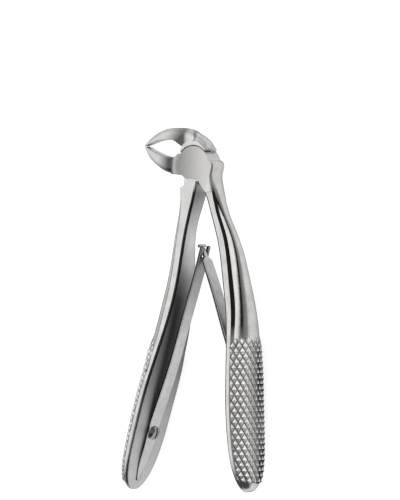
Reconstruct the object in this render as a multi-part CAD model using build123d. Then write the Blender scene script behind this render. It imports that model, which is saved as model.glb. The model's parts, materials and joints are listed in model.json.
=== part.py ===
from build123d import *
import math
import os

# Extraction forceps for lower teeth, with two interlocking leaf springs between the handles.
# Lengths are in millimetres. The jaw pivot runs along +Z through the origin, which lies on the
# joint's back face. The handles run towards -Y and the beaks point towards -X.
# The halves cross at the joint. One has the lower beak and the right handle, and its lap plate
# is in front, at high Z. The other has the upper beak and the left handle, at low Z.

# ---- Joint ----
JOINT_THICKNESS = 7.0
MID = JOINT_THICKNESS / 2
LAP_GAP = 0.1
FRONT_PLATE_RADIUS = 7.1
BACK_PLATE_RADIUS = 6.8
RECESS_CLEARANCE = 0.3
OPENING_ANGLE = 20.0
NECK_SWEEP_STEPS = 5

# ---- Pivot screw: blind into the front plate, head flush in the back plate ----
PIVOT_RADIUS = 1.9
PIVOT_RUNNING_CLEARANCE = 0.03
PIVOT_HEAD_RADIUS = 3.1
PIVOT_HEAD_HEIGHT = 1.3
PIVOT_HEAD_CLEARANCE = 0.08
PIVOT_FRONT_SKIN = 1.0
SCREW_END_GAP = 0.2
PIVOT_SLOT_WIDTH = 0.8
PIVOT_SLOT_DEPTH = 0.7

# ---- Handles, from the joint down: inner line x, y, thickness, width, side band, bevel ----
INNER_EDGE_ROUND = 0.8
RIGHT_HANDLE = [
    (2.0, 1.5, 5.9, 6.96, 4.9, 0.5),
    (2.1, 0.5, 6.8, 6.96, 5.8, 0.5),
    (2.6, -4.0, 6.2, 6.96, 5.0, 0.6),
    (4.9, -9.0, 5.0, 6.8, 3.4, 0.7),
    (7.3, -16.0, 5.0, 6.3, 2.7, 0.8),
    (10.1, -24.5, 6.3, 6.5, 3.1, 0.9),
    (12.2, -31.5, 7.1, 8.0, 3.1, 1.0),
    (14.2, -40.0, 7.4, 10.0, 3.0, 1.1),
    (16.3, -50.0, 7.5, 12.3, 2.8, 1.1),
    (17.5, -61.0, 7.4, 14.8, 2.2, 0.9),
    (18.1, -71.0, 7.0, 16.8, 2.0, 0.8),
    (18.3, -82.0, 6.9, 17.4, 2.0, 0.7),
    (18.9, -93.0, 6.7, 16.9, 1.9, 0.6),
    (19.6, -101.0, 6.2, 15.2, 1.8, 0.6),
    (20.3, -106.5, 5.4, 11.8, 1.6, 0.5),
    (20.9, -109.6, 4.2, 7.6, 1.3, 0.4),
    (21.3, -111.0, 2.8, 3.4, 0.9, 0.3),
]
LEFT_HANDLE = [
    (1.2, -4.8, 7.6, 6.96, 6.9, 0.4),
    (0.6, -9.0, 8.0, 6.96, 6.7, 0.6),
    (-1.7, -16.0, 6.6, 6.4, 4.3, 0.8),
    (-3.9, -24.0, 6.2, 6.4, 3.4, 0.9),
    (-4.9, -32.0, 6.6, 8.1, 3.1, 1.0),
    (-6.2, -42.0, 7.4, 10.4, 3.0, 1.1),
    (-8.7, -52.5, 7.8, 12.8, 2.7, 1.1),
    (-12.1, -63.0, 7.9, 15.2, 2.2, 0.9),
    (-15.2, -72.0, 7.6, 17.0, 2.0, 0.8),
    (-18.8, -82.0, 7.3, 17.4, 2.0, 0.7),
    (-22.5, -93.0, 6.8, 16.9, 1.9, 0.6),
    (-25.4, -101.0, 6.2, 15.2, 1.8, 0.6),
    (-27.5, -106.5, 5.4, 11.8, 1.6, 0.5),
    (-28.7, -109.5, 4.2, 7.6, 1.3, 0.4),
    (-29.3, -110.8, 2.8, 3.4, 0.9, 0.3),
]

# ---- What is cut off the left handle's front above its shoulder, and its neck behind ----
ABOVE_SHOULDER = [(-9.0, -7.2), (-6.1, -7.2), (-1.4, -5.1), (3.0, -5.0), (3.0, 0.0), (-9.0, 0.0)]
BACK_NECK = [(-5.6, -8.4), (-6.8, -6.3), (-6.8, -3.8), (-6.0, -3.2), (0.0, 0.0), (1.1, -5.0),
             (1.3, -6.0), (0.9, -7.2), (0.0, -8.4)]

# ---- Front plate: its cheek towards the lower beak, and what is cut off the disc below ----
CHEEK = [(-2.0, 4.0), (-5.6, 4.4), (-6.7, 4.5), (-8.2, 3.4), (-9.6, 3.0), (-9.8, -2.4), (-8.7, -2.6),
         (-5.2, -2.8), (-2.0, -2.8)]
PLATE_TRIM = [(-9.0, -2.8), (-5.2, -2.8), (-3.8, -3.8), (-3.1, -4.1), (2.0, -4.2), (5.1, -9.7), (-9.0, -9.7)]

# ---- Flat face of the right handle's neck, level with the joint's faces ----
NECK_FACE = [(0.0, 1.4), (6.9, 1.4), (7.1, -4.0), (8.0, -8.6), (5.6, -8.9), (3.2, -6.3), (2.0, -4.2),
             (0.0, -4.1)]

# ---- Beaks, from the root out: inner line x, y, thickness, width, flat side, hollow ----
LOWER_BEAK = [
    (-6.6, 3.3, 6.0, 5.9, 3.6, 0.05),
    (-9.6, 3.2, 5.8, 5.5, 2.9, 0.1),
    (-12.2, 3.2, 5.3, 4.9, 2.2, 0.35),
    (-15.2, 3.8, 4.7, 4.3, 1.8, 0.5),
    (-18.6, 5.0, 3.7, 3.8, 1.1, 0.5),
    (-21.4, 6.3, 2.4, 3.4, 0.6, 0.4),
    (-23.0, 7.04, 1.2, 2.8, 0.35, 0.15),
    (-23.7, 7.11, 0.7, 1.5, 0.2, 0.05),
]
UPPER_BEAK = [
    (-6.4, 7.3, 6.1, 5.3, 2.6, 0.1),
    (-9.2, 8.8, 4.85, 4.7, 1.8, 0.35),
    (-12.6, 9.4, 3.9, 4.2, 1.6, 0.5),
    (-16.6, 9.1, 3.1, 3.8, 1.1, 0.5),
    (-20.2, 8.2, 2.1, 3.4, 0.6, 0.4),
    (-22.6, 7.42, 1.2, 2.8, 0.35, 0.15),
    (-23.7, 7.19, 0.7, 1.5, 0.2, 0.05),
]

# ---- Upper jaw's arch over the joint: angle, thickness, width, flat side ----
ARCH_RADIUS = FRONT_PLATE_RADIUS + RECESS_CLEARANCE
ARCH_ROOT_RADIUS = 6.6
ARCH_HOLLOW = 0.05
ARCH = [
    (46.0, 2.5, 6.0, 1.0),
    (60.0, 3.0, 6.0, 1.3),
    (75.0, 3.85, 6.0, 1.6),
    (90.0, 4.9, 5.9, 2.0),
    (105.0, 5.8, 5.7, 2.4),
]
RIM_CENTRE = (-0.4, 3.3)
RIM_RADIUS = 5.85
RIM_ANGLES = [46.0, 92.0, 139.0]

# ---- Leaf springs: the blades' middle lines, from the apex down, and their width along them ----
LEAF_THICKNESS = 1.1
LEFT_BLADE = [(2.1, -29.3), (-1.6, -40.5), (-6.0, -52.5), (-10.2, -64.4), (-14.3, -74.8), (-19.3, -86.2)]
RIGHT_BLADE = [(2.1, -29.3), (5.2, -36.5), (9.2, -46.9), (13.6, -59.2), (16.2, -66.0), (17.4, -70.5)]
BLADE_WIDTHS = [4.6, 4.8, 4.8, 4.9, 5.2, 5.3]
LEFT_FOOT = [(-20.0, -86.4), (-20.98, -88.6), (-21.8, -90.8), (-23.85, -96.8), (-25.95, -102.5), (-27.95, -107.8)]
RIGHT_FOOT = [(18.05, -70.7), (18.15, -76.0), (18.55, -86.8), (18.9, -93.0), (19.35, -98.5), (19.9, -103.5)]
FOOT_WIDTHS = [5.3, 5.2, 5.0, 4.7, 3.7, 0.8]
FOOT_SINK = 0.15

# ---- The springs' interlock: a fork on the left leaf, a headed tongue on the right one ----
FORK_ROOT = 1.9
FORK_TIP = 2.3
FORK_SLOT_WIDTH = 2.3
TONGUE_ROOT = 3.0
TONGUE_NECK = 1.7
TONGUE_TIP = 2.9
TONGUE_WIDTH = 1.5
TONGUE_HEAD_HEIGHT = 0.9
TONGUE_HEAD_WIDTH = 3.6

# ---- Spring screws ----
SCREW_HEAD_RADIUS = 2.4
SCREW_HEAD_EDGE = 0.7
SCREW_HEAD_HEIGHT = 1.7
SCREW_SHANK_RADIUS = 1.1
SCREW_HOLE_CLEARANCE = 0.1
SCREW_DEPTH = 3.6
SCREW_SEAT_GAP = 0.05
SCREW_SLOT_WIDTH = 0.7
SCREW_SLOT_DEPTH = 0.8
SCREW_STATION = 2


def direction(start, end):
    """Unit vector in the XY plane from one point to another."""
    dx = end[0] - start[0]
    dy = end[1] - start[1]
    length = math.hypot(dx, dy)
    return dx / length, dy / length


def cross_planes(points, side):
    """A plane across the path at each point. Its local x is to the left of travel for side 1,
    and to the right for side -1."""
    planes = []
    last = len(points) - 1
    for index, point in enumerate(points):
        tx, ty = direction(points[max(index - 1, 0)], points[min(index + 1, last)])
        outward = (-ty * side, tx * side, 0)
        planes.append(Plane(origin=(point[0], point[1], MID), x_dir=outward, z_dir=(tx, ty, 0)))
    return planes


def handle_section(plane, thickness, width, band, bevel):
    """Flat inner face with eased edges, flat side bands, bevels and a domed palm side."""
    half = width / 2
    ease = min(INNER_EDGE_ROUND, band / 2)
    diagonal = ease * (1 - math.sqrt(0.5))
    shoulder = band + bevel
    rim = half - bevel
    outline = [
        Line((0, ease - half), (0, half - ease)),
        ThreePointArc((0, half - ease), (diagonal, half - diagonal), (ease, half)),
        Line((ease, half), (band, half)),
        Line((band, half), (shoulder, rim)),
        ThreePointArc((shoulder, rim), (thickness, 0), (shoulder, -rim)),
        Line((shoulder, -rim), (band, -half)),
        Line((band, -half), (ease, -half)),
        ThreePointArc((ease, -half), (diagonal, diagonal - half), (0, ease - half)),
    ]
    return plane * make_face(outline)


def jaw_section(plane, thickness, width, flat, hollow):
    """Inner face hollowed across its width, flat sides and a domed back."""
    half = width / 2
    outline = [
        ThreePointArc((0, -half), (hollow, 0), (0, half)),
        Line((0, half), (flat, half)),
        ThreePointArc((flat, half), (thickness, 0), (flat, -half)),
        Line((flat, -half), (0, -half)),
    ]
    return plane * make_face(outline)


def swept(stations, side, section):
    planes = cross_planes([row[:2] for row in stations], side)
    return loft([section(plane, *row[2:]) for plane, row in zip(planes, stations)])


def disc(radius, low, high):
    return Pos(0, 0, low) * extrude(Circle(radius), amount=high - low)


def prism(outline, low, high, grow=0.0):
    face = make_face(Polyline(*outline, close=True))
    if grow:
        face = offset(face, grow)
    return Pos(0, 0, low) * extrude(face, amount=high - low)


def around(angle, radius):
    return radius * math.cos(math.radians(angle)), radius * math.sin(math.radians(angle))


def upper_jaw():
    """The arch over the joint and the beak in one sweep."""
    stations = []
    for angle, thickness, width, flat in ARCH:
        stations.append((*around(angle, ARCH_ROOT_RADIUS), thickness, width, flat, ARCH_HOLLOW))
    return swept(stations + UPPER_BEAK, -1, jaw_section)


def rim():
    """The raised land that the front disc turns inside."""
    land = Pos(*RIM_CENTRE) * disc(RIM_RADIUS, MID, JOINT_THICKNESS)
    fan = [(0, 0)] + [around(angle, 2 * ARCH_RADIUS) for angle in RIM_ANGLES]
    return land & prism(fan, 0, JOINT_THICKNESS)


def upper_jaw_half():
    lap_face = MID - LAP_GAP / 2
    jaw = upper_jaw() + rim()
    jaw -= disc(ARCH_RADIUS, lap_face, JOINT_THICKNESS + 1)
    half = jaw + disc(BACK_PLATE_RADIUS, 0, lap_face)
    half += prism(BACK_NECK, 0, lap_face)
    handle = swept(LEFT_HANDLE, -1, handle_section)
    half += handle - prism(ABOVE_SHOULDER, lap_face, JOINT_THICKNESS + 1)
    half -= disc(PIVOT_RADIUS + PIVOT_RUNNING_CLEARANCE, -1, lap_face + 1)
    half -= disc(PIVOT_HEAD_RADIUS + PIVOT_HEAD_CLEARANCE, -1, PIVOT_HEAD_HEIGHT + PIVOT_HEAD_CLEARANCE)
    return half - screw_hole(LEFT_FOOT, 1)


def lower_jaw_half():
    lap_face = MID + LAP_GAP / 2
    body = prism(CHEEK, 0, JOINT_THICKNESS) + prism(NECK_FACE, 0, JOINT_THICKNESS)
    body += swept(LOWER_BEAK, 1, jaw_section)
    body += swept(RIGHT_HANDLE, 1, handle_section)
    body -= disc(BACK_PLATE_RADIUS + RECESS_CLEARANCE, -1, lap_face)
    neck = prism(BACK_NECK, -1, lap_face, RECESS_CLEARANCE)
    for step in range(NECK_SWEEP_STEPS + 1):
        body -= Rot(0, 0, -OPENING_ANGLE * step / NECK_SWEEP_STEPS) * neck
    plate = disc(FRONT_PLATE_RADIUS, lap_face, JOINT_THICKNESS)
    half = body + (plate - prism(PLATE_TRIM, 0, JOINT_THICKNESS))
    half -= disc(PIVOT_RADIUS, lap_face - 1, JOINT_THICKNESS - PIVOT_FRONT_SKIN)
    return half - screw_hole(RIGHT_FOOT, -1)


def pivot_screw():
    top = JOINT_THICKNESS - PIVOT_FRONT_SKIN - SCREW_END_GAP
    screw = disc(PIVOT_HEAD_RADIUS, 0, PIVOT_HEAD_HEIGHT) + disc(PIVOT_RADIUS, 0, top)
    return screw - Box(3 * PIVOT_HEAD_RADIUS, PIVOT_SLOT_WIDTH, 2 * PIVOT_SLOT_DEPTH)


def beyond(blade, distance):
    """A plane across the blade's straight top run, at a distance past its apex point."""
    tx, ty = direction(blade[1], blade[0])
    origin = (blade[0][0] + distance * tx, blade[0][1] + distance * ty, MID)
    return Plane(origin=origin, x_dir=(-ty, tx, 0), z_dir=(tx, ty, 0))


def strip(blade, low, high, width, thickness=LEAF_THICKNESS):
    """A straight piece of leaf between two distances past the apex point."""
    return beyond(blade, (low + high) / 2) * Box(thickness, width, high - low)


def blade_body(blade, root):
    """The bent leaf, from its foot to a distance short of the apex point."""
    top = beyond(blade, -root).origin
    points = [(top.X, top.Y)] + blade[1:]
    sections = []
    for plane, width in zip(cross_planes(points, 1), BLADE_WIDTHS):
        sections.append(plane * Rectangle(LEAF_THICKNESS, width))
    return loft(sections)


def left_spring_blade():
    """Leaf with a fork at its top."""
    fork = strip(LEFT_BLADE, -FORK_ROOT, FORK_TIP, BLADE_WIDTHS[0])
    fork -= strip(LEFT_BLADE, -FORK_ROOT, FORK_TIP + 1, FORK_SLOT_WIDTH, 3 * LEAF_THICKNESS)
    return blade_body(LEFT_BLADE, FORK_ROOT) + fork


def right_spring_blade():
    """Leaf that narrows to a headed tongue, which passes through the fork."""
    shoulders = loft([
        beyond(RIGHT_BLADE, -TONGUE_ROOT) * Rectangle(LEAF_THICKNESS, BLADE_WIDTHS[0]),
        beyond(RIGHT_BLADE, -TONGUE_NECK) * Rectangle(LEAF_THICKNESS, TONGUE_WIDTH),
    ])
    tongue = strip(RIGHT_BLADE, -TONGUE_NECK, TONGUE_TIP, TONGUE_WIDTH)
    head = strip(RIGHT_BLADE, TONGUE_TIP - TONGUE_HEAD_HEIGHT, TONGUE_TIP, TONGUE_HEAD_WIDTH)
    return blade_body(RIGHT_BLADE, TONGUE_ROOT) + shoulders + tongue + head


def screw_plane(foot, gap_side):
    """On the handle's inner face at the screw, with Z away from the handle and X down along it."""
    across = cross_planes(foot, gap_side)[SCREW_STATION]
    return Plane(origin=across.origin, x_dir=across.z_dir, z_dir=across.x_dir)


def rod(radius, low, high):
    return Pos(0, 0, (low + high) / 2) * Cylinder(radius, high - low)


def screw_hole(foot, gap_side):
    return screw_plane(foot, gap_side) * rod(SCREW_SHANK_RADIUS, -SCREW_DEPTH, 1)


def spring_foot(foot, gap_side, half):
    """The part of the leaf that lies on its handle, pointed at its lower end."""
    sections = []
    for plane, width in zip(cross_planes(foot, gap_side), FOOT_WIDTHS):
        centre = Pos((LEAF_THICKNESS - FOOT_SINK) / 2, 0)
        sections.append(plane * centre * Rectangle(LEAF_THICKNESS + FOOT_SINK, width))
    hole = screw_plane(foot, gap_side) * rod(SCREW_SHANK_RADIUS + SCREW_HOLE_CLEARANCE, -3, 3)
    return loft(sections) - half - hole


def spring_screw(foot, gap_side):
    """Slotted screw with a domed head, seated on the leaf."""
    seat = LEAF_THICKNESS + SCREW_SEAT_GAP
    top = seat + SCREW_HEAD_HEIGHT
    rise = SCREW_HEAD_HEIGHT - SCREW_HEAD_EDGE
    dome_radius = (SCREW_HEAD_RADIUS ** 2 + rise ** 2) / (2 * rise)
    head = rod(SCREW_HEAD_RADIUS, seat, top) & Pos(0, 0, top - dome_radius) * Sphere(dome_radius)
    screw = head + rod(SCREW_SHANK_RADIUS, SCREW_END_GAP - SCREW_DEPTH, seat)
    slot = Pos(0, 0, top) * Box(3 * SCREW_HEAD_RADIUS, SCREW_SLOT_WIDTH, 2 * SCREW_SLOT_DEPTH)
    return screw_plane(foot, gap_side) * (screw - slot)


upper_half = upper_jaw_half()
lower_half = lower_jaw_half()
nodes = {
    "upper_jaw_half": upper_half,
    "lower_jaw_half": lower_half,
    "pivot_screw": pivot_screw(),
    "left_spring_foot": spring_foot(LEFT_FOOT, 1, upper_half),
    "left_spring_blade": left_spring_blade(),
    "left_spring_screw": spring_screw(LEFT_FOOT, 1),
    "right_spring_foot": spring_foot(RIGHT_FOOT, -1, lower_half),
    "right_spring_blade": right_spring_blade(),
    "right_spring_screw": spring_screw(RIGHT_FOOT, -1),
}
os.makedirs("parts", exist_ok=True)
for name, shape in nodes.items():
    export_step(shape, f"parts/{name}.step")
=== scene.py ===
import json
import math

import bmesh
import bpy
from mathutils import Matrix, Vector
from mathutils.bvhtree import BVHTree


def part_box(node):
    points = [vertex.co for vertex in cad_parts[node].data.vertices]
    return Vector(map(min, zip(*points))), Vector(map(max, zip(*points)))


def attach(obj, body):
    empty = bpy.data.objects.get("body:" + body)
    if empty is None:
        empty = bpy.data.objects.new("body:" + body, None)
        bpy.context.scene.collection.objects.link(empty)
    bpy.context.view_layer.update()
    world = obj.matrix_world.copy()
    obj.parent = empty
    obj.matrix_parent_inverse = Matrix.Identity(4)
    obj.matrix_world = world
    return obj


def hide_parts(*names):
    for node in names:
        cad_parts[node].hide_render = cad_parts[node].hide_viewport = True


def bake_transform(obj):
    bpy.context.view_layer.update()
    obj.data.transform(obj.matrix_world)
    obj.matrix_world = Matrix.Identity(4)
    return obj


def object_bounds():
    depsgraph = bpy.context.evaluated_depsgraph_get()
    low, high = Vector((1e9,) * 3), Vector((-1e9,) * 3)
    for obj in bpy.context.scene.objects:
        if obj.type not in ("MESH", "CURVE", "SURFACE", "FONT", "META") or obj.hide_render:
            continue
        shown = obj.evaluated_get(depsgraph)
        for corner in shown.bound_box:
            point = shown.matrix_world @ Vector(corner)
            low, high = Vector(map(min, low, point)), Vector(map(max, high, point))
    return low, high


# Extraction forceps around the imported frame, in metres. The jaw pivot runs along +Z.
# The forceps lies on a pale floor, and the camera looks down at it, tilted towards +X.

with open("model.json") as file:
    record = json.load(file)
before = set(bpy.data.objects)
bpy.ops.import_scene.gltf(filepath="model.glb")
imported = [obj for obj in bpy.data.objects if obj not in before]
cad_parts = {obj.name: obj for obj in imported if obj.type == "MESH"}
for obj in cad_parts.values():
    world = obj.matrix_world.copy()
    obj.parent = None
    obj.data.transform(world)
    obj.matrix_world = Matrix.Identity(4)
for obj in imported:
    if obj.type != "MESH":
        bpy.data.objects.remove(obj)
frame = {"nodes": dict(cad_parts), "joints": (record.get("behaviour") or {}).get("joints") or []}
cad_low, cad_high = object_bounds()

MM = 0.001

# ---- Camera ----
VIEW_TILT = math.radians(40)
AIM = Vector((0.25, -28.5, 3.5)) * MM
FRAME_HEIGHT = 171 * MM
LENS = 600
SENSOR = 36
CLIP_END = 10

# ---- Knurling: pyramids on the palm side of both grips ----
DIAMOND_WIDTH = 2.1 * MM
DIAMOND_LENGTH = 3.7 * MM
DIAMOND_STEPS = 8
KNURL_HEIGHT = 0.6 * MM
KNURL_LIFT = 0.03 * MM
KNURL_SINK = 0.2 * MM
KNURL_SKIN = 0.5 * MM
KNURL_TOP = -55.5 * MM
KNURL_BOTTOM = -109.0 * MM
KNURL_TOP_FADE = 6.0 * MM
KNURL_BOTTOM_FADE = 1.0 * MM
KNURL_SIDE_FADE = 0.45 * MM
KNURL_MARGIN = 0.35 * MM

# ---- Leaf springs ----
LEAF_THICKNESS = 1.1 * MM
LEAF_EASE = 0.22 * MM
LEAF_EASE_SHARE = 0.6
LEAF_STEP = 1.5 * MM
FORK_ROOT = 1.9 * MM
FORK_TIP = 2.3 * MM
FORK_SLOT_WIDTH = 2.3 * MM
TONGUE_ROOT = 3.0 * MM
TONGUE_NECK = 1.7 * MM
TONGUE_TIP = 2.9 * MM
TONGUE_WIDTH = 1.5 * MM
TONGUE_HEAD_HEIGHT = 0.9 * MM
TONGUE_HEAD_WIDTH = 3.6 * MM
HEAD_STEP = 0.05 * MM
HEAD_ROUNDING = 0.25 * MM
HEAD_TOP_SHARE = 0.86
TOP_HALF_WIDTH = 2.3 * MM
APEX = Vector((2.1, -29.3, 3.5)) * MM
TIP_INSET = 0.3 * MM
TIP_SHARE = 0.2
TIP_TAPER = 14 * MM
EASE_PARTS = 2
# Along a fork's prong: (distance past the apex, share of the full section). It starts inside the leaf.
PRONG_STOPS = [(-FORK_ROOT - 0.2 * MM, 1), (FORK_TIP - 0.5 * MM, 1),
               (FORK_TIP - 0.15 * MM, 0.85), (FORK_TIP, 0.55)]

# ---- Steel. Each noise is (scale, detail), and each roughness is (least, most). ----
STEEL_LIGHT = (0.54, 0.535, 0.525, 1)
STEEL_DARK = (0.43, 0.425, 0.415, 1)
STEEL_ROUGHNESS = (0.2, 0.32)
STEEL_BRUSH = (1, 0.05, 1)
STEEL_RIM_TINT = (0.45, 0.445, 0.44, 1)
EDGE_EASE = 0.22 * MM
CLOUDS = (260, 4)
BRUSHING = (2600, 2)
FINE_GRAIN = (5200, 2)
CLOUD_SHARE = 0.55
TONE_SPREAD = (0.35, 0.65)
BUMP_DEPTH = 0.006 * MM
GRAIN_STRENGTH = 0.6
BRUSHING_STRENGTH = 0.5

SPRING_LIGHT = (0.52, 0.52, 0.515, 1)
SPRING_DARK = (0.42, 0.42, 0.415, 1)
# Painted shade on the leaves, darkening each one along Y
SPRING_SHADE_TONE = (0.20, 0.20, 0.195, 1)
SPRING_ROUGHNESS = (0.18, 0.28)
SPRING_BRUSH = (1, 0.03, 1)
LEFT_SPRING_SHADE_Y = (-58 * MM, -30 * MM)
RIGHT_SPRING_SHADE_Y = (-28 * MM, -72 * MM)

# Near-black steel for painted shade along the leaves' edges
EDGE_SHADE_LIGHT = (0.07, 0.066, 0.064, 1)
EDGE_SHADE_DARK = (0.03, 0.028, 0.027, 1)
EDGE_SHADE_ROUGHNESS = (0.35, 0.5)
EDGE_SHADE_BRUSH = (1, 1, 0.1)

SCREW_LIGHT = (0.34, 0.34, 0.34, 1)
SCREW_DARK = (0.22, 0.22, 0.22, 1)
SCREW_ROUGHNESS = (0.12, 0.22)
SCREW_BRUSH = (1, 1, 1)

# ---- Painted shade and reflections on the halves. A pair is a band in which a tone comes or goes. ----
# FACING is the surface direction's share towards the gap, and SLOPE is its share along Z.
UPPER_HALF_TO_GAP = (0.96, -0.27, 0)
LOWER_HALF_TO_GAP = (-0.99, -0.12, 0)
HANDLE_Y = (-9 * MM, -6 * MM)
GAP_FACING = (0.86, 0.95)
GAP_FACE_LOW = -110 * MM
GAP_FACE_HIGH = -8 * MM
# Painted reflection and shade down the face towards the gap: (Y in millimetres, grey)
GAP_FACE_REFLECTION_TONES = [(-105, 0.52), (-88, 0.46), (-78, 0.34), (-68, 0.23), (-58, 0.17), (-46, 0.15),
                  (-39, 0.3), (-33, 0.52), (-26, 0.66), (-18, 0.5), (-10, 0.3)]
GAP_FACE_DULLNESS = 0.3
# Painted dark reflection along the eased edges and the palm side's bevels
EDGE_REFLECTION_TONE = (0.03, 0.027, 0.027, 1)
EDGE_FACING = (0.08, 0.2)
EDGE_FACING_END = (0.93, 0.985)
EDGE_SLOPE = (0.1, 0.2)
EDGE_FOOT_Y = (-100 * MM, -75 * MM)
EDGE_FOOT_SHARE = 0.5
PALM_FACING = (-0.5, -0.4)
ABOVE_GRIP_Y = (-60 * MM, -54 * MM)
BEVEL_SLOPE = (0.62, 0.70)
BEVEL_SLOPE_END = (0.76, 0.84)
# Painted shade at the roots of the beaks, by the distance from the pivot
ROOT_SHADE_TONE = (0.035, 0.035, 0.035, 1)
ROOT_SHADE = 0.9
ROOT_INSIDE = (8.6 * MM, 9.4 * MM)
ROOT_OUTSIDE = (12.0 * MM, 17.0 * MM)
ROOT_X = (-5.0 * MM, -3.2 * MM)
ROOT_Y = (-4.0 * MM, -3.0 * MM)
# Painted shade along a crease on the arch, by the distance from its own centre
CREASE_SHADE_TONE = (0.10, 0.10, 0.10, 1)
CREASE_CENTRE = (-4.0 * MM, 8.9 * MM, 0)
CREASE_INSIDE = (3.7 * MM, 4.05 * MM)
CREASE_OUTSIDE = (4.15 * MM, 4.9 * MM)
CREASE_X = (-2.4 * MM, -0.6 * MM)
CREASE_Y = (8.4 * MM, 9.0 * MM)
CREASE_SHADE = 0.8
# Lap plate, by the distance from the pivot: matt, with painted shade that darkens it towards -X
PLATE_INSIDE = (6.8 * MM, 10.5 * MM)
PLATE_X = (-8 * MM, 5 * MM)
PLATE_MATT_SHADED = (0.17, 0.168, 0.166, 1)
PLATE_MATT_LIT = (0.47, 0.465, 0.46, 1)
PLATE_SPECKS = (0.50, 0.495, 0.485, 1)
PLATE_SPECK_SHARE = 0.15
PLATE_GRAIN = (1400, 5)
PLATE_DULLNESS = 0.12

# ---- Tones of the knurling, with painted shade in its grooves and on its sides that face the foot. RISE is the share along Z of the grip's outward direction. ----
# Painted highlight: the knurling's steel is lighter than the halves' steel
KNURL_LIGHT = (0.80, 0.79, 0.78, 1)
KNURL_DARK = (0.66, 0.655, 0.645, 1)
KNURL_ROUGHNESS = (0.3, 0.42)
GROOVE_SHADE_TONE = (0.02, 0.019, 0.018, 1)
GROOVE_SIDE = 0.9
GROOVE_MIDDLE = 0.2
GROOVE_BAND = 0.3
GROOVE_SIDE_RISE = (-0.2, 0.15)
FOOT_FACING = (-0.26, -0.1)
FOOT_SIDE = 1.0
FOOT_MIDDLE = 0.0
FOOT_BAND = 0.5
FOOT_SIDE_RISE = (-0.1, 0.2)
BAND_RISE = (0.4, 0.65)

# ---- Studio: the sky's brightness by angle from overhead, towards -X and then towards +X ----
SKY = [(-90, 0.55), (-60, 0.75), (-38, 0.85), (0, 0.95), (20, 0.9),
       (36, 0.3), (60, 0.15), (80, 0.2), (90, 0.35)]
SKY_HEAD = 0.5
SKY_HEAD_FROM = (0.6, 0.9)
SKY_FOOT = 0.04
SKY_FOOT_FROM = (-0.3, -0.6)
SKY_STRENGTH = 1.7
FLOOR_SIZE = 4.0
FLOOR_GLOW = 0.86
FLOOR_LIGHT = (0.42, 0.42, 0.42, 1)
FLOOR_DARK = (0.40, 0.40, 0.40, 1)
FLOOR_CLOUDS = (40, 4)
FLOOR_ROUGHNESS = 0.9

# ---- Rays cast on the CAD surfaces ----
FAR = 100 * MM
UP = Vector((0, 0, 1))
# Off the middle plane, to miss the spring screws' holes and the fork's slot
SIDE_PROBE = 1.7 * MM
GAP_PROBE = FAR / 4
BAND_PROBE = 1.1 * MM
PALM_PROBE = 1.0 * MM
ARC_PROBE = 0.5
ARC_LEAST_DROP = 0.2 * MM
ARC_LEAST_REACH = 0.05
ARC_MOST_REACH = 0.98
CORE_DEPTH = 1.2 * MM

MID = sum(corner.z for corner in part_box("upper_jaw_half")) / 2
JOINTS = {joint["name"]: joint for joint in frame["joints"]}


# ---------------------------------------------------------------- node helpers

def new_material(name):
    material = bpy.data.materials.new(name)
    material.use_nodes = True
    nodes = material.node_tree.nodes
    nodes.clear()
    shader = nodes.new("ShaderNodeBsdfPrincipled")
    output = nodes.new("ShaderNodeOutputMaterial")
    material.node_tree.links.new(shader.outputs["BSDF"], output.inputs["Surface"])
    return material, shader


class Builder:
    """Adds nodes to one node tree, with their inputs given as values or as other nodes' outputs."""

    def __init__(self, tree):
        self.tree = tree

    def add(self, kind, inputs=(), **settings):
        node = self.tree.nodes.new(kind)
        for key, value in settings.items():
            setattr(node, key, value)
        for key, value in dict(inputs).items():
            if isinstance(value, bpy.types.NodeSocket):
                self.tree.links.new(value, node.inputs[key])
            else:
                node.inputs[key].default_value = value
        return node

    def link(self, output, target):
        self.tree.links.new(output, target)

    def place(self, scale=(1, 1, 1)):
        """The point in the row frame, stretched."""
        coords = self.add("ShaderNodeTexCoord").outputs["Object"]
        return self.add("ShaderNodeMapping", {"Vector": coords, "Scale": scale}).outputs["Vector"]

    def axes(self, vector):
        return self.add("ShaderNodeSeparateXYZ", {"Vector": vector}).outputs

    def noise(self, scale, detail, stretch=(1, 1, 1)):
        inputs = {"Vector": self.place(stretch), "Scale": scale, "Detail": detail}
        return self.add("ShaderNodeTexNoise", inputs).outputs["Fac"]

    def remap(self, value, low, high, band=(0.3, 0.7)):
        """Low where the value is at the band's first end, and high at its second end."""
        inputs = {"Value": value, "From Min": band[0], "From Max": band[1], "To Min": low, "To Max": high}
        return self.add("ShaderNodeMapRange", inputs).outputs["Result"]

    def rise(self, value, band):
        return self.remap(value, 0.0, 1.0, band)

    def fall(self, value, band):
        return self.remap(value, 1.0, 0.0, band)

    def math(self, operation, first, second=0.0):
        return self.add("ShaderNodeMath", {0: first, 1: second}, operation=operation).outputs[0]

    def product(self, first, *others):
        for other in others:
            first = self.math("MULTIPLY", first, other)
        return first

    def vector(self, operation, first, second):
        return self.add("ShaderNodeVectorMath", {0: first, 1: second}, operation=operation).outputs

    def mix(self, factor, first, second):
        """The colour mix's inputs go by number, because it has several with the same name."""
        return self.add("ShaderNodeMix", {0: factor, 6: first, 7: second}, data_type="RGBA").outputs[2]

    def bump(self, height, strength, normal):
        inputs = {"Height": height, "Distance": BUMP_DEPTH, "Strength": strength, "Normal": normal}
        return self.add("ShaderNodeBump", inputs).outputs["Normal"]


def fill_ramp(ramp, stops):
    """Grey levels at positions from 0 to 1."""
    elements = ramp.elements
    while len(elements) > 1:
        elements.remove(elements[-1])
    for index, (position, level) in enumerate(stops):
        element = elements[0] if index == 0 else elements.new(position)
        element.position = position
        element.color = (level, level, level, 1)


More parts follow.
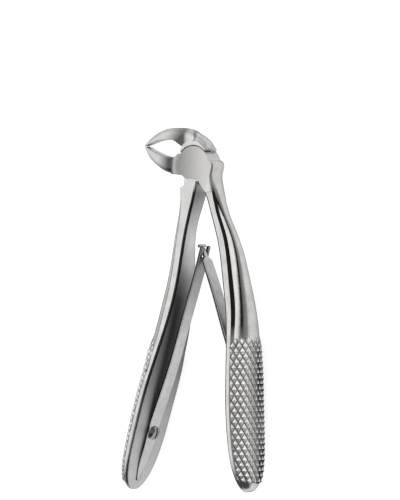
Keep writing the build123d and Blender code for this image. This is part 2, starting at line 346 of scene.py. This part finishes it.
def steel(name, light, dark, roughness, brush):
    """Stainless steel with cloudy tone, brushing along the handles, a fine grain and eased edges."""
    material, shader = new_material(name)
    build = Builder(material.node_tree)
    cloud = build.noise(*CLOUDS)
    streak = build.noise(*BRUSHING, brush)
    tone = build.math("ADD", build.product(cloud, CLOUD_SHARE), build.product(streak, 1 - CLOUD_SHARE))
    build.link(build.mix(build.rise(tone, TONE_SPREAD), dark, light), shader.inputs["Base Color"])
    build.link(build.remap(tone, roughness[1], roughness[0]), shader.inputs["Roughness"])
    eased = build.add("ShaderNodeBevel", {"Radius": EDGE_EASE}, samples=4).outputs["Normal"]
    fine = build.bump(build.noise(*FINE_GRAIN), GRAIN_STRENGTH, eased)
    build.link(build.bump(streak, BRUSHING_STRENGTH, fine), shader.inputs["Normal"])
    shader.inputs["Metallic"].default_value = 1.0
    shader.inputs["Specular Tint"].default_value = STEEL_RIM_TINT
    return material, shader, build


def forged_steel(name, pivot, gap_direction, plate_matt):
    """Steel of one half. Its face towards the gap is rougher, with painted reflection and shade that change
    its tone along the handle.
    Painted dark reflections run along that face's eased edges and the palm side's bevels, and painted shade
    along a crease on the arch.
    The roots of the beaks have painted shade too. With plate_matt, the lap plate round the pivot is matt,
    with painted shade darker towards -X."""
    material, shader, build = steel(name, STEEL_LIGHT, STEEL_DARK, STEEL_ROUGHNESS, STEEL_BRUSH)
    base = shader.inputs["Base Color"].links[0].from_socket
    rough = shader.inputs["Roughness"].links[0].from_socket
    coords = build.add("ShaderNodeTexCoord").outputs
    place = build.axes(coords["Object"])
    level = build.vector("MULTIPLY", coords["Object"], (1, 1, 0))[0]
    distance = build.vector("DISTANCE", level, pivot)["Value"]
    facing = build.vector("DOT_PRODUCT", coords["Normal"], gap_direction)["Value"]
    slope = build.math("ABSOLUTE", build.axes(coords["Normal"])["Z"])
    handle = build.fall(place["Y"], HANDLE_Y)

    # The face towards the gap: painted reflection and shade in its colour, and more roughness
    ramp = build.add("ShaderNodeValToRGB", {"Fac": build.rise(place["Y"], (GAP_FACE_LOW, GAP_FACE_HIGH))})
    length = GAP_FACE_HIGH - GAP_FACE_LOW
    fill_ramp(ramp.color_ramp, [((y * MM - GAP_FACE_LOW) / length, tone) for y, tone in GAP_FACE_REFLECTION_TONES])
    inner = build.product(build.rise(facing, GAP_FACING), handle)
    base = build.mix(inner, base, ramp.outputs["Color"])
    rough = build.math("ADD", rough, build.product(inner, GAP_FACE_DULLNESS))

    # Painted dark reflection along its eased edges, fainter towards the handle's foot
    edge = build.product(build.rise(facing, EDGE_FACING), build.fall(facing, EDGE_FACING_END),
                         build.rise(slope, EDGE_SLOPE),
                         build.remap(place["Y"], EDGE_FOOT_SHARE, 1.0, EDGE_FOOT_Y), handle)
    base = build.mix(edge, base, EDGE_REFLECTION_TONE)

    # Painted dark reflection on the bevels of the palm side, above the grip
    palm = build.product(build.fall(facing, PALM_FACING), build.rise(place["Y"], ABOVE_GRIP_Y))
    bevel = build.product(build.rise(slope, BEVEL_SLOPE), build.fall(slope, BEVEL_SLOPE_END), palm, handle)
    base = build.mix(bevel, base, EDGE_REFLECTION_TONE)

    # Painted shade at the roots of the beaks
    root = build.product(build.rise(distance, ROOT_INSIDE), build.fall(distance, ROOT_OUTSIDE),
                         build.fall(place["X"], ROOT_X))
    shade = build.product(root, build.product(build.rise(place["Y"], ROOT_Y), ROOT_SHADE))
    base = build.mix(shade, base, ROOT_SHADE_TONE)

    # Painted shade along the crease on the arch
    around = build.vector("DISTANCE", level, CREASE_CENTRE)["Value"]
    crease = build.product(build.rise(around, CREASE_INSIDE), build.fall(around, CREASE_OUTSIDE),
                           build.remap(place["X"], 0.0, CREASE_SHADE, CREASE_X),
                           build.rise(place["Y"], CREASE_Y))
    base = build.mix(crease, base, CREASE_SHADE_TONE)

    if plate_matt:
        inside = build.fall(distance, PLATE_INSIDE)
        specks = build.product(build.remap(build.noise(*PLATE_GRAIN), 0, 1), PLATE_SPECK_SHARE)
        # Matt tone, with painted shade darker towards -X
        plate = build.mix(build.rise(place["X"], PLATE_X), PLATE_MATT_SHADED, PLATE_MATT_LIT)
        base = build.mix(inside, base, build.mix(specks, plate, PLATE_SPECKS))
        rough = build.math("ADD", rough, build.product(inside, PLATE_DULLNESS))
    build.link(base, shader.inputs["Base Color"])
    build.link(rough, shader.inputs["Roughness"])
    return material


def knurl_steel():
    """Steel whose grooves are painted dark as shade, by the height stored on the mesh, and so are the
    pyramids' sides that face the handle's foot. Both are stronger on the grip's outer side and beside its
    band, by the stored rise of the grip's outward direction. Its tone is painted lighter than the halves'
    steel, for brighter highlights."""
    material, shader, build = steel("knurl_steel", KNURL_LIGHT, KNURL_DARK, KNURL_ROUGHNESS, STEEL_BRUSH)
    base = shader.inputs["Base Color"].links[0].from_socket
    height = build.add("ShaderNodeAttribute", attribute_name="knurl_height").outputs["Fac"]
    rise = build.add("ShaderNodeAttribute", attribute_name="knurl_rise").outputs["Fac"]
    width = build.math("ADD", build.remap(rise, GROOVE_SIDE, GROOVE_MIDDLE, GROOVE_SIDE_RISE),
                       build.remap(rise, 0.0, GROOVE_BAND, BAND_RISE))
    # Painted shade in the grooves and on the pyramids' sides that face the foot
    groove = build.math("SUBTRACT", 1.0, build.math("DIVIDE", height, width))
    normal = build.add("ShaderNodeTexCoord").outputs["Normal"]
    foot = build.fall(build.axes(normal)["Y"], FOOT_FACING)
    share = build.math("ADD", build.remap(rise, FOOT_SIDE, FOOT_MIDDLE, FOOT_SIDE_RISE),
                       build.remap(rise, 0.0, FOOT_BAND, BAND_RISE))
    groove = build.math("MAXIMUM", groove, build.product(foot, share))
    build.link(build.mix(groove, base, GROOVE_SHADE_TONE), shader.inputs["Base Color"])
    return material


def spring_steel(side, shade_y):
    """Leaf steel with painted shade that darkens it from the first Y to the second."""
    name = f"{side}_spring_steel"
    material, shader, build = steel(name, SPRING_LIGHT, SPRING_DARK, SPRING_ROUGHNESS, SPRING_BRUSH)
    base = shader.inputs["Base Color"].links[0].from_socket
    leaf_shade = build.rise(build.axes(build.place())["Y"], shade_y)
    build.link(build.mix(leaf_shade, base, SPRING_SHADE_TONE), shader.inputs["Base Color"])
    return material


def spring_edge_shade():
    """Near-black steel on the leaves' edges, as painted shade."""
    return steel("spring_edge_shade", EDGE_SHADE_LIGHT, EDGE_SHADE_DARK, EDGE_SHADE_ROUGHNESS, EDGE_SHADE_BRUSH)[0]


def screw_steel():
    return steel("screw_steel", SCREW_LIGHT, SCREW_DARK, SCREW_ROUGHNESS, SCREW_BRUSH)[0]


# ---------------------------------------------------------------- mesh helpers

def tree_of(node):
    """Search tree over a CAD node's mesh, for rays."""
    mesh = frame["nodes"][node].data
    points = [vertex.co.copy() for vertex in mesh.vertices]
    faces = [list(polygon.vertices) for polygon in mesh.polygons]
    return BVHTree.FromPolygons(points, faces)


def mesh_object(name, points, faces, materials, slots=None):
    mesh = bpy.data.meshes.new(name)
    mesh.from_pydata([tuple(point) for point in points], [], faces)
    for material in materials:
        mesh.materials.append(material)
    if slots is not None:
        mesh.polygons.foreach_set("material_index", slots)
    mesh.update()
    item = bpy.data.objects.new(name, mesh)
    bpy.context.scene.collection.objects.link(item)
    return item


def face_outwards(item):
    shaped = bmesh.new()
    shaped.from_mesh(item.data)
    bmesh.ops.recalc_face_normals(shaped, faces=shaped.faces)
    shaped.to_mesh(item.data)
    shaped.free()


# ---------------------------------------------------------------- knurled grips

def palm_point(tree, side, y):
    """The grip's outermost point at one Y, on the middle plane."""
    return tree.ray_cast(Vector((side * FAR, y, MID)), Vector((-side, 0, 0)))[0]


class Section:
    """One cross-section of a grip, measured on its CAD surface: the arc of its palm side."""

    def __init__(self, tree, side, y, run):
        self.out = Vector((run.y, -run.x, 0))
        if self.out.x * side < 0:
            self.out.negate()
        palm = palm_point(tree, side, y)
        gap_face = tree.ray_cast(palm - self.out * GAP_PROBE + UP * SIDE_PROBE, self.out)[0]
        band = tree.ray_cast(gap_face + self.out * BAND_PROBE + UP * FAR, -UP)[0]
        half = band.z - MID
        rise = half * ARC_PROBE
        beside = tree.ray_cast(palm + self.out * PALM_PROBE + UP * rise, -self.out)[0]
        drop = max((palm - beside).dot(self.out), ARC_LEAST_DROP)
        self.radius = (rise ** 2 + drop ** 2) / (2 * drop)
        self.centre = palm - self.out * self.radius
        reach = min((half - KNURL_MARGIN) / self.radius, ARC_MOST_REACH)
        self.limit = self.radius * math.asin(max(reach, ARC_LEAST_REACH))

    def ray(self, across):
        """The outward direction at a distance along the arc from the palm line."""
        angle = across / self.radius
        return self.out * math.cos(angle) + UP * math.sin(angle)


def diamond(across, along):
    """Share of the full height in a diamond pattern: 0 along its grooves and 1 at its points."""
    u = across / (DIAMOND_WIDTH / 2)
    v = along / (DIAMOND_LENGTH / 2)
    one = 1 - abs((u + v) % 2.0 - 1)
    other = 1 - abs((u - v) % 2.0 - 1)
    return min(one, other)


def ease(value, reach):
    """0 up to value 0, rising smoothly to 1 at reach."""
    share = min(max(value / reach, 0.0), 1.0)
    return share * share * (3 - 2 * share)


def grip_sections(tree, side, step):
    """Cross-sections down the grip, a fixed length of palm line apart."""
    y = KNURL_TOP
    sections = []
    while y > KNURL_BOTTOM:
        run = (palm_point(tree, side, y - step) - palm_point(tree, side, y)).normalized()
        sections.append(Section(tree, side, y, run))
        y += run.y * step
    return sections


def knurled_grip(name, node, side):
    """A skin of diamonds on a grip's palm side, which sinks into the CAD surface at its margins."""
    tree = tree_of(node)
    du = DIAMOND_WIDTH / DIAMOND_STEPS
    dv = DIAMOND_LENGTH / DIAMOND_STEPS
    sections = grip_sections(tree, side, dv)
    columns = math.ceil(max(section.limit for section in sections) / du) + 1
    points, heights, rises = [], [], []
    for row, section in enumerate(sections):
        for column in range(-columns, columns + 1):
            across = column * du
            ray = section.ray(max(-section.limit - du, min(across, section.limit + du)))
            hit = tree.ray_cast(section.centre + ray * (section.radius - CORE_DEPTH), ray)[0]
            present = ease(section.limit - abs(across), KNURL_SIDE_FADE)
            above_foot = (len(sections) - 1 - row) * dv
            present *= ease(row * dv, KNURL_TOP_FADE) * ease(above_foot, KNURL_BOTTOM_FADE)
            height = diamond(across, row * dv) * present
            lift = KNURL_LIFT * present + KNURL_HEIGHT * height - KNURL_SINK * (1 - present)
            points.append(hit + ray * lift)
            heights.append(height)
            rises.append(ray.z)
    width = 2 * columns + 1
    faces = []
    for row in range(len(sections) - 1):
        for column in range(width - 1):
            if abs(column + 0.5 - columns) * du > sections[row].limit + du:
                continue
            corner = row * width + column
            quad = (corner, corner + 1, corner + width + 1, corner + width)
            # The split runs between the two opposite corners that are nearer in height.
            even = abs(heights[quad[0]] - heights[quad[2]]) < abs(heights[quad[1]] - heights[quad[3]])
            turn = 0 if even else 1
            a, b, c, d = quad[turn:] + quad[:turn]
            faces += [(a, b, c), (a, c, d)]
    item = mesh_object(name, points, faces, [KNURL_STEEL])
    for attribute, values in (("knurl_height", heights), ("knurl_rise", rises)):
        layer = item.data.attributes.new(attribute, "FLOAT", "POINT")
        layer.data.foreach_set("value", values)
    tidy_skin(item, side)
    return item


def tidy_skin(item, side):
    """Drops unused points, faces the skin outwards and closes it behind."""
    shaped = bmesh.new()
    shaped.from_mesh(item.data)
    bmesh.ops.delete(shaped, geom=[v for v in shaped.verts if not v.link_faces], context="VERTS")
    bmesh.ops.recalc_face_normals(shaped, faces=shaped.faces)
    facing = sum(face.normal.x for face in shaped.faces)
    if facing * side < 0:
        bmesh.ops.reverse_faces(shaped, faces=shaped.faces)
    shaped.to_mesh(item.data)
    shaped.free()
    skin = item.modifiers.new("Skin", "SOLIDIFY")
    skin.thickness = KNURL_SKIN
    skin.offset = -1


# ---------------------------------------------------------------- leaf springs

def leaf_middle(trees, low, high):
    """(middle point, half width) up a leaf, measured on its CAD foot and blade. Gaps are skipped."""
    rows = []
    y = low
    while y < high:
        for tree in trees:
            for height in (0.0, SIDE_PROBE):
                first = tree.ray_cast(Vector((-FAR, y, MID + height)), Vector((1, 0, 0)))[0]
                last = tree.ray_cast(Vector((FAR, y, MID + height)), Vector((-1, 0, 0)))[0]
                if first is None or last is None:
                    continue
                x = (first.x + last.x) / 2
                edge = tree.ray_cast(Vector((x, y, FAR)), -UP)[0]
                if edge is not None:
                    rows.append((Vector((x, y, MID)), edge.z - MID))
                    break
        y += LEAF_STEP
    return rows


def leaf_ring(centre, across, half_width, half_thickness):
    """A rounded oblong round a point of the leaf's middle line."""
    ring = []
    ease_by = min(LEAF_EASE, half_width * LEAF_EASE_SHARE)
    for sign_t, sign_w, turn in ((1, 1, 0), (-1, 1, 1), (-1, -1, 2), (1, -1, 3)):
        corner_t = sign_t * (half_thickness - ease_by)
        corner_w = sign_w * (half_width - ease_by)
        for part in range(EASE_PARTS + 1):
            angle = (turn + part / EASE_PARTS) * math.pi / 2
            t = corner_t + ease_by * math.cos(angle)
            w = corner_w + ease_by * math.sin(angle)
            ring.append(centre + across * t + UP * w)
    return ring


def sweep_leaf(rows):
    """Points, faces and material slots of a closed strip. Slot 1 holds its thickness edges, one eased
    corner and its ends, which get painted shade.
    A row is (middle point, half width, half thickness, height off the middle)."""
    points, faces, slots = [], [], []
    size = 4 * (EASE_PARTS + 1)
    for index, (centre, half_width, half_thickness, offset) in enumerate(rows):
        before = rows[max(index - 1, 0)][0]
        after = rows[min(index + 1, len(rows) - 1)][0]
        run = (after - before).normalized()
        across = Vector((run.y, -run.x, 0))
        points += leaf_ring(centre + UP * offset, across, half_width, half_thickness)
        if index:
            first = (index - 1) * size
            for step in range(size):
                near, far = first + step, first + (step + 1) % size
                faces.append((near, far, far + size, near + size))
                side, part = divmod(step, EASE_PARTS + 1)
                # Painted shade: the thickness edges and one eased corner take the near-black edge steel
                shaded_edge = side in (0, 2) and part == EASE_PARTS
                shaded_corner = side == 3 and part < EASE_PARTS
                slots.append(1 if shaded_edge or shaded_corner else 0)
    faces.append(tuple(range(size)))
    faces.append(tuple(range(len(points) - size, len(points))))
    slots += [1, 1]
    return points, faces, slots


def join_sweeps(name, sweeps, surface):
    """One object of closed strips, with a material for their broad surfaces."""
    points, faces, slots = [], [], []
    for part_points, part_faces, part_slots in sweeps:
        first = len(points)
        points += part_points
        faces += [tuple(first + index for index in face) for face in part_faces]
        slots += part_slots
    item = mesh_object(name, points, faces, [surface, SPRING_EDGE_SHADE], slots)
    face_outwards(item)
    return item


def leaf_rows(prefix, side, root):
    """The measured rows from the foot's tip to the root of the fork or tongue, and the top run's
    direction. The foot thins towards its tip, and stays against its handle, which is on the given side."""
    foot, blade = f"{prefix}_spring_foot", f"{prefix}_spring_blade"
    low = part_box(foot)[0].y + TIP_INSET
    measured = leaf_middle([tree_of(foot), tree_of(blade)], low, APEX.y - 2 * root)
    run = (APEX - measured[-1][0]).normalized()
    measured.append((APEX - run * root, TOP_HALF_WIDTH))
    rows = []
    for centre, half in measured:
        full = LEAF_THICKNESS / 2
        thin = full * (TIP_SHARE + (1 - TIP_SHARE) * ease(centre.y - low, TIP_TAPER))
        rows.append((centre + Vector((side * (full - thin), 0, 0)), half, thin, 0))
    return rows, run


def left_leaf():
    """Leaf whose top is a fork."""
    rows, run = leaf_rows("left", -1, FORK_ROOT)
    thin = LEAF_THICKNESS / 2
    prong = (TOP_HALF_WIDTH - FORK_SLOT_WIDTH / 2) / 2
    offset = FORK_SLOT_WIDTH / 2 + prong
    sweeps = [sweep_leaf(rows)]
    for sign in (-1, 1):
        sweeps.append(sweep_leaf([
            (APEX + run * along, prong * share, thin * share, sign * offset) for along, share in PRONG_STOPS
        ]))
    return join_sweeps("left_leaf_spring", sweeps, spring_steel("left", LEFT_SPRING_SHADE_Y))


def right_leaf():
    """Leaf that narrows to a headed tongue, which passes through the fork."""
    rows, run = leaf_rows("right", 1, TONGUE_ROOT)
    thin = LEAF_THICKNESS / 2
    neck = TONGUE_WIDTH / 2
    head = TONGUE_HEAD_WIDTH / 2
    under_head = TONGUE_TIP - TONGUE_HEAD_HEIGHT
    stops = [(-TONGUE_NECK, neck), (under_head, neck), (under_head + HEAD_STEP, head),
             (TONGUE_TIP - HEAD_ROUNDING, head), (TONGUE_TIP, head * HEAD_TOP_SHARE)]
    rows += [(APEX + run * along, half, thin, 0) for along, half in stops]
    return join_sweeps("right_leaf_spring", [sweep_leaf(rows)], spring_steel("right", RIGHT_SPRING_SHADE_Y))


def bend_leaf(leaf):
    """Bakes the leaf's placement into its mesh. Nothing bends it."""
    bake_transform(leaf)


# ---------------------------------------------------------------- studio

def floor():
    """Plain pale floor under the forceps."""
    material, shader = new_material("floor_paper")
    build = Builder(material.node_tree)
    tone = build.mix(build.noise(*FLOOR_CLOUDS), FLOOR_DARK, FLOOR_LIGHT)
    build.link(tone, shader.inputs["Base Color"])
    shader.inputs["Roughness"].default_value = FLOOR_ROUGHNESS
    shader.inputs["Emission Color"].default_value = (1, 1, 1, 1)
    shader.inputs["Emission Strength"].default_value = FLOOR_GLOW
    side = FLOOR_SIZE / 2
    level = cad_low.z
    corners = [(-side, -side, level), (side, -side, level), (side, side, level), (-side, side, level)]
    mesh_object("floor", corners, [(0, 1, 2, 3)], [material])


def studio():
    """A sky that is bright overhead and towards -X and dim towards +X, with a dimmer end beyond the
    beaks and a dark end beyond the handles."""
    world = bpy.data.worlds.new("studio")
    world.use_nodes = True
    bpy.context.scene.world = world
    tree = world.node_tree
    tree.nodes.clear()
    build = Builder(tree)
    coords = build.add("ShaderNodeTexCoord").outputs["Generated"]
    direction = build.axes(coords)
    angle = build.math("ARCTAN2", direction["X"], direction["Z"])
    share = build.rise(angle, (-math.pi / 2, math.pi / 2))
    ramp = build.add("ShaderNodeValToRGB", {"Fac": share})
    fill_ramp(ramp.color_ramp, [((degrees + 90) / 180, level) for degrees, level in SKY])
    head = build.rise(direction["Y"], SKY_HEAD_FROM)
    sky = build.mix(head, ramp.outputs["Color"], (SKY_HEAD, SKY_HEAD, SKY_HEAD, 1))
    foot = build.rise(direction["Y"], SKY_FOOT_FROM)
    sky = build.mix(foot, sky, (SKY_FOOT, SKY_FOOT, SKY_FOOT, 1))
    background = build.add("ShaderNodeBackground", {"Color": sky, "Strength": SKY_STRENGTH})
    output = build.add("ShaderNodeOutputWorld")
    build.link(background.outputs["Background"], output.inputs["Surface"])


def camera():
    """A long lens over the forceps, tilted towards +X, with +Y upwards in the picture."""
    data = bpy.data.cameras.new("camera")
    data.lens = LENS
    data.sensor_width = SENSOR
    data.clip_end = CLIP_END
    item = bpy.data.objects.new("camera", data)
    bpy.context.scene.collection.objects.link(item)
    back = Vector((math.sin(VIEW_TILT), 0, math.cos(VIEW_TILT)))
    right = Vector((math.cos(VIEW_TILT), 0, -math.sin(VIEW_TILT)))
    turn = Matrix((right, Vector((0, 1, 0)), back)).transposed().to_4x4()
    distance = FRAME_HEIGHT * LENS / SENSOR
    item.matrix_world = Matrix.Translation(AIM + back * distance) @ turn
    bpy.context.scene.camera = item
    bpy.context.scene.view_settings.view_transform = "Standard"


def assign(material, *nodes):
    for node in nodes:
        mesh = frame["nodes"][node].data
        mesh.materials.clear()
        mesh.materials.append(material)


# ---------------------------------------------------------------- the forceps

SPRING_EDGE_SHADE = spring_edge_shade()
KNURL_STEEL = knurl_steel()

PIVOT = Vector(JOINTS["jaw_pivot"]["pos_m"])
assign(forged_steel("upper_jaw_steel", PIVOT, UPPER_HALF_TO_GAP, False), "upper_jaw_half")
assign(forged_steel("lower_jaw_steel", PIVOT, LOWER_HALF_TO_GAP, True), "lower_jaw_half")
assign(screw_steel(), "pivot_screw", "left_spring_screw", "right_spring_screw")

for grip_name, grip_node, grip_body, grip_side in (
    ("left_grip_knurling", "upper_jaw_half", "upper_jaw_body", -1),
    ("right_grip_knurling", "lower_jaw_half", "lower_jaw_body", 1),
):
    grip = knurled_grip(grip_name, grip_node, grip_side)
    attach(grip, grip_body)

for leaf, leaf_body, leaf_joint, leaf_nodes in (
    (left_leaf(), "upper_jaw_body", "left_leaf_flex", ("left_spring_foot", "left_spring_blade")),
    (right_leaf(), "lower_jaw_body", "right_leaf_flex", ("right_spring_foot", "right_spring_blade")),
):
    bend_leaf(leaf)
    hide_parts(*leaf_nodes)

floor()
studio()
camera()
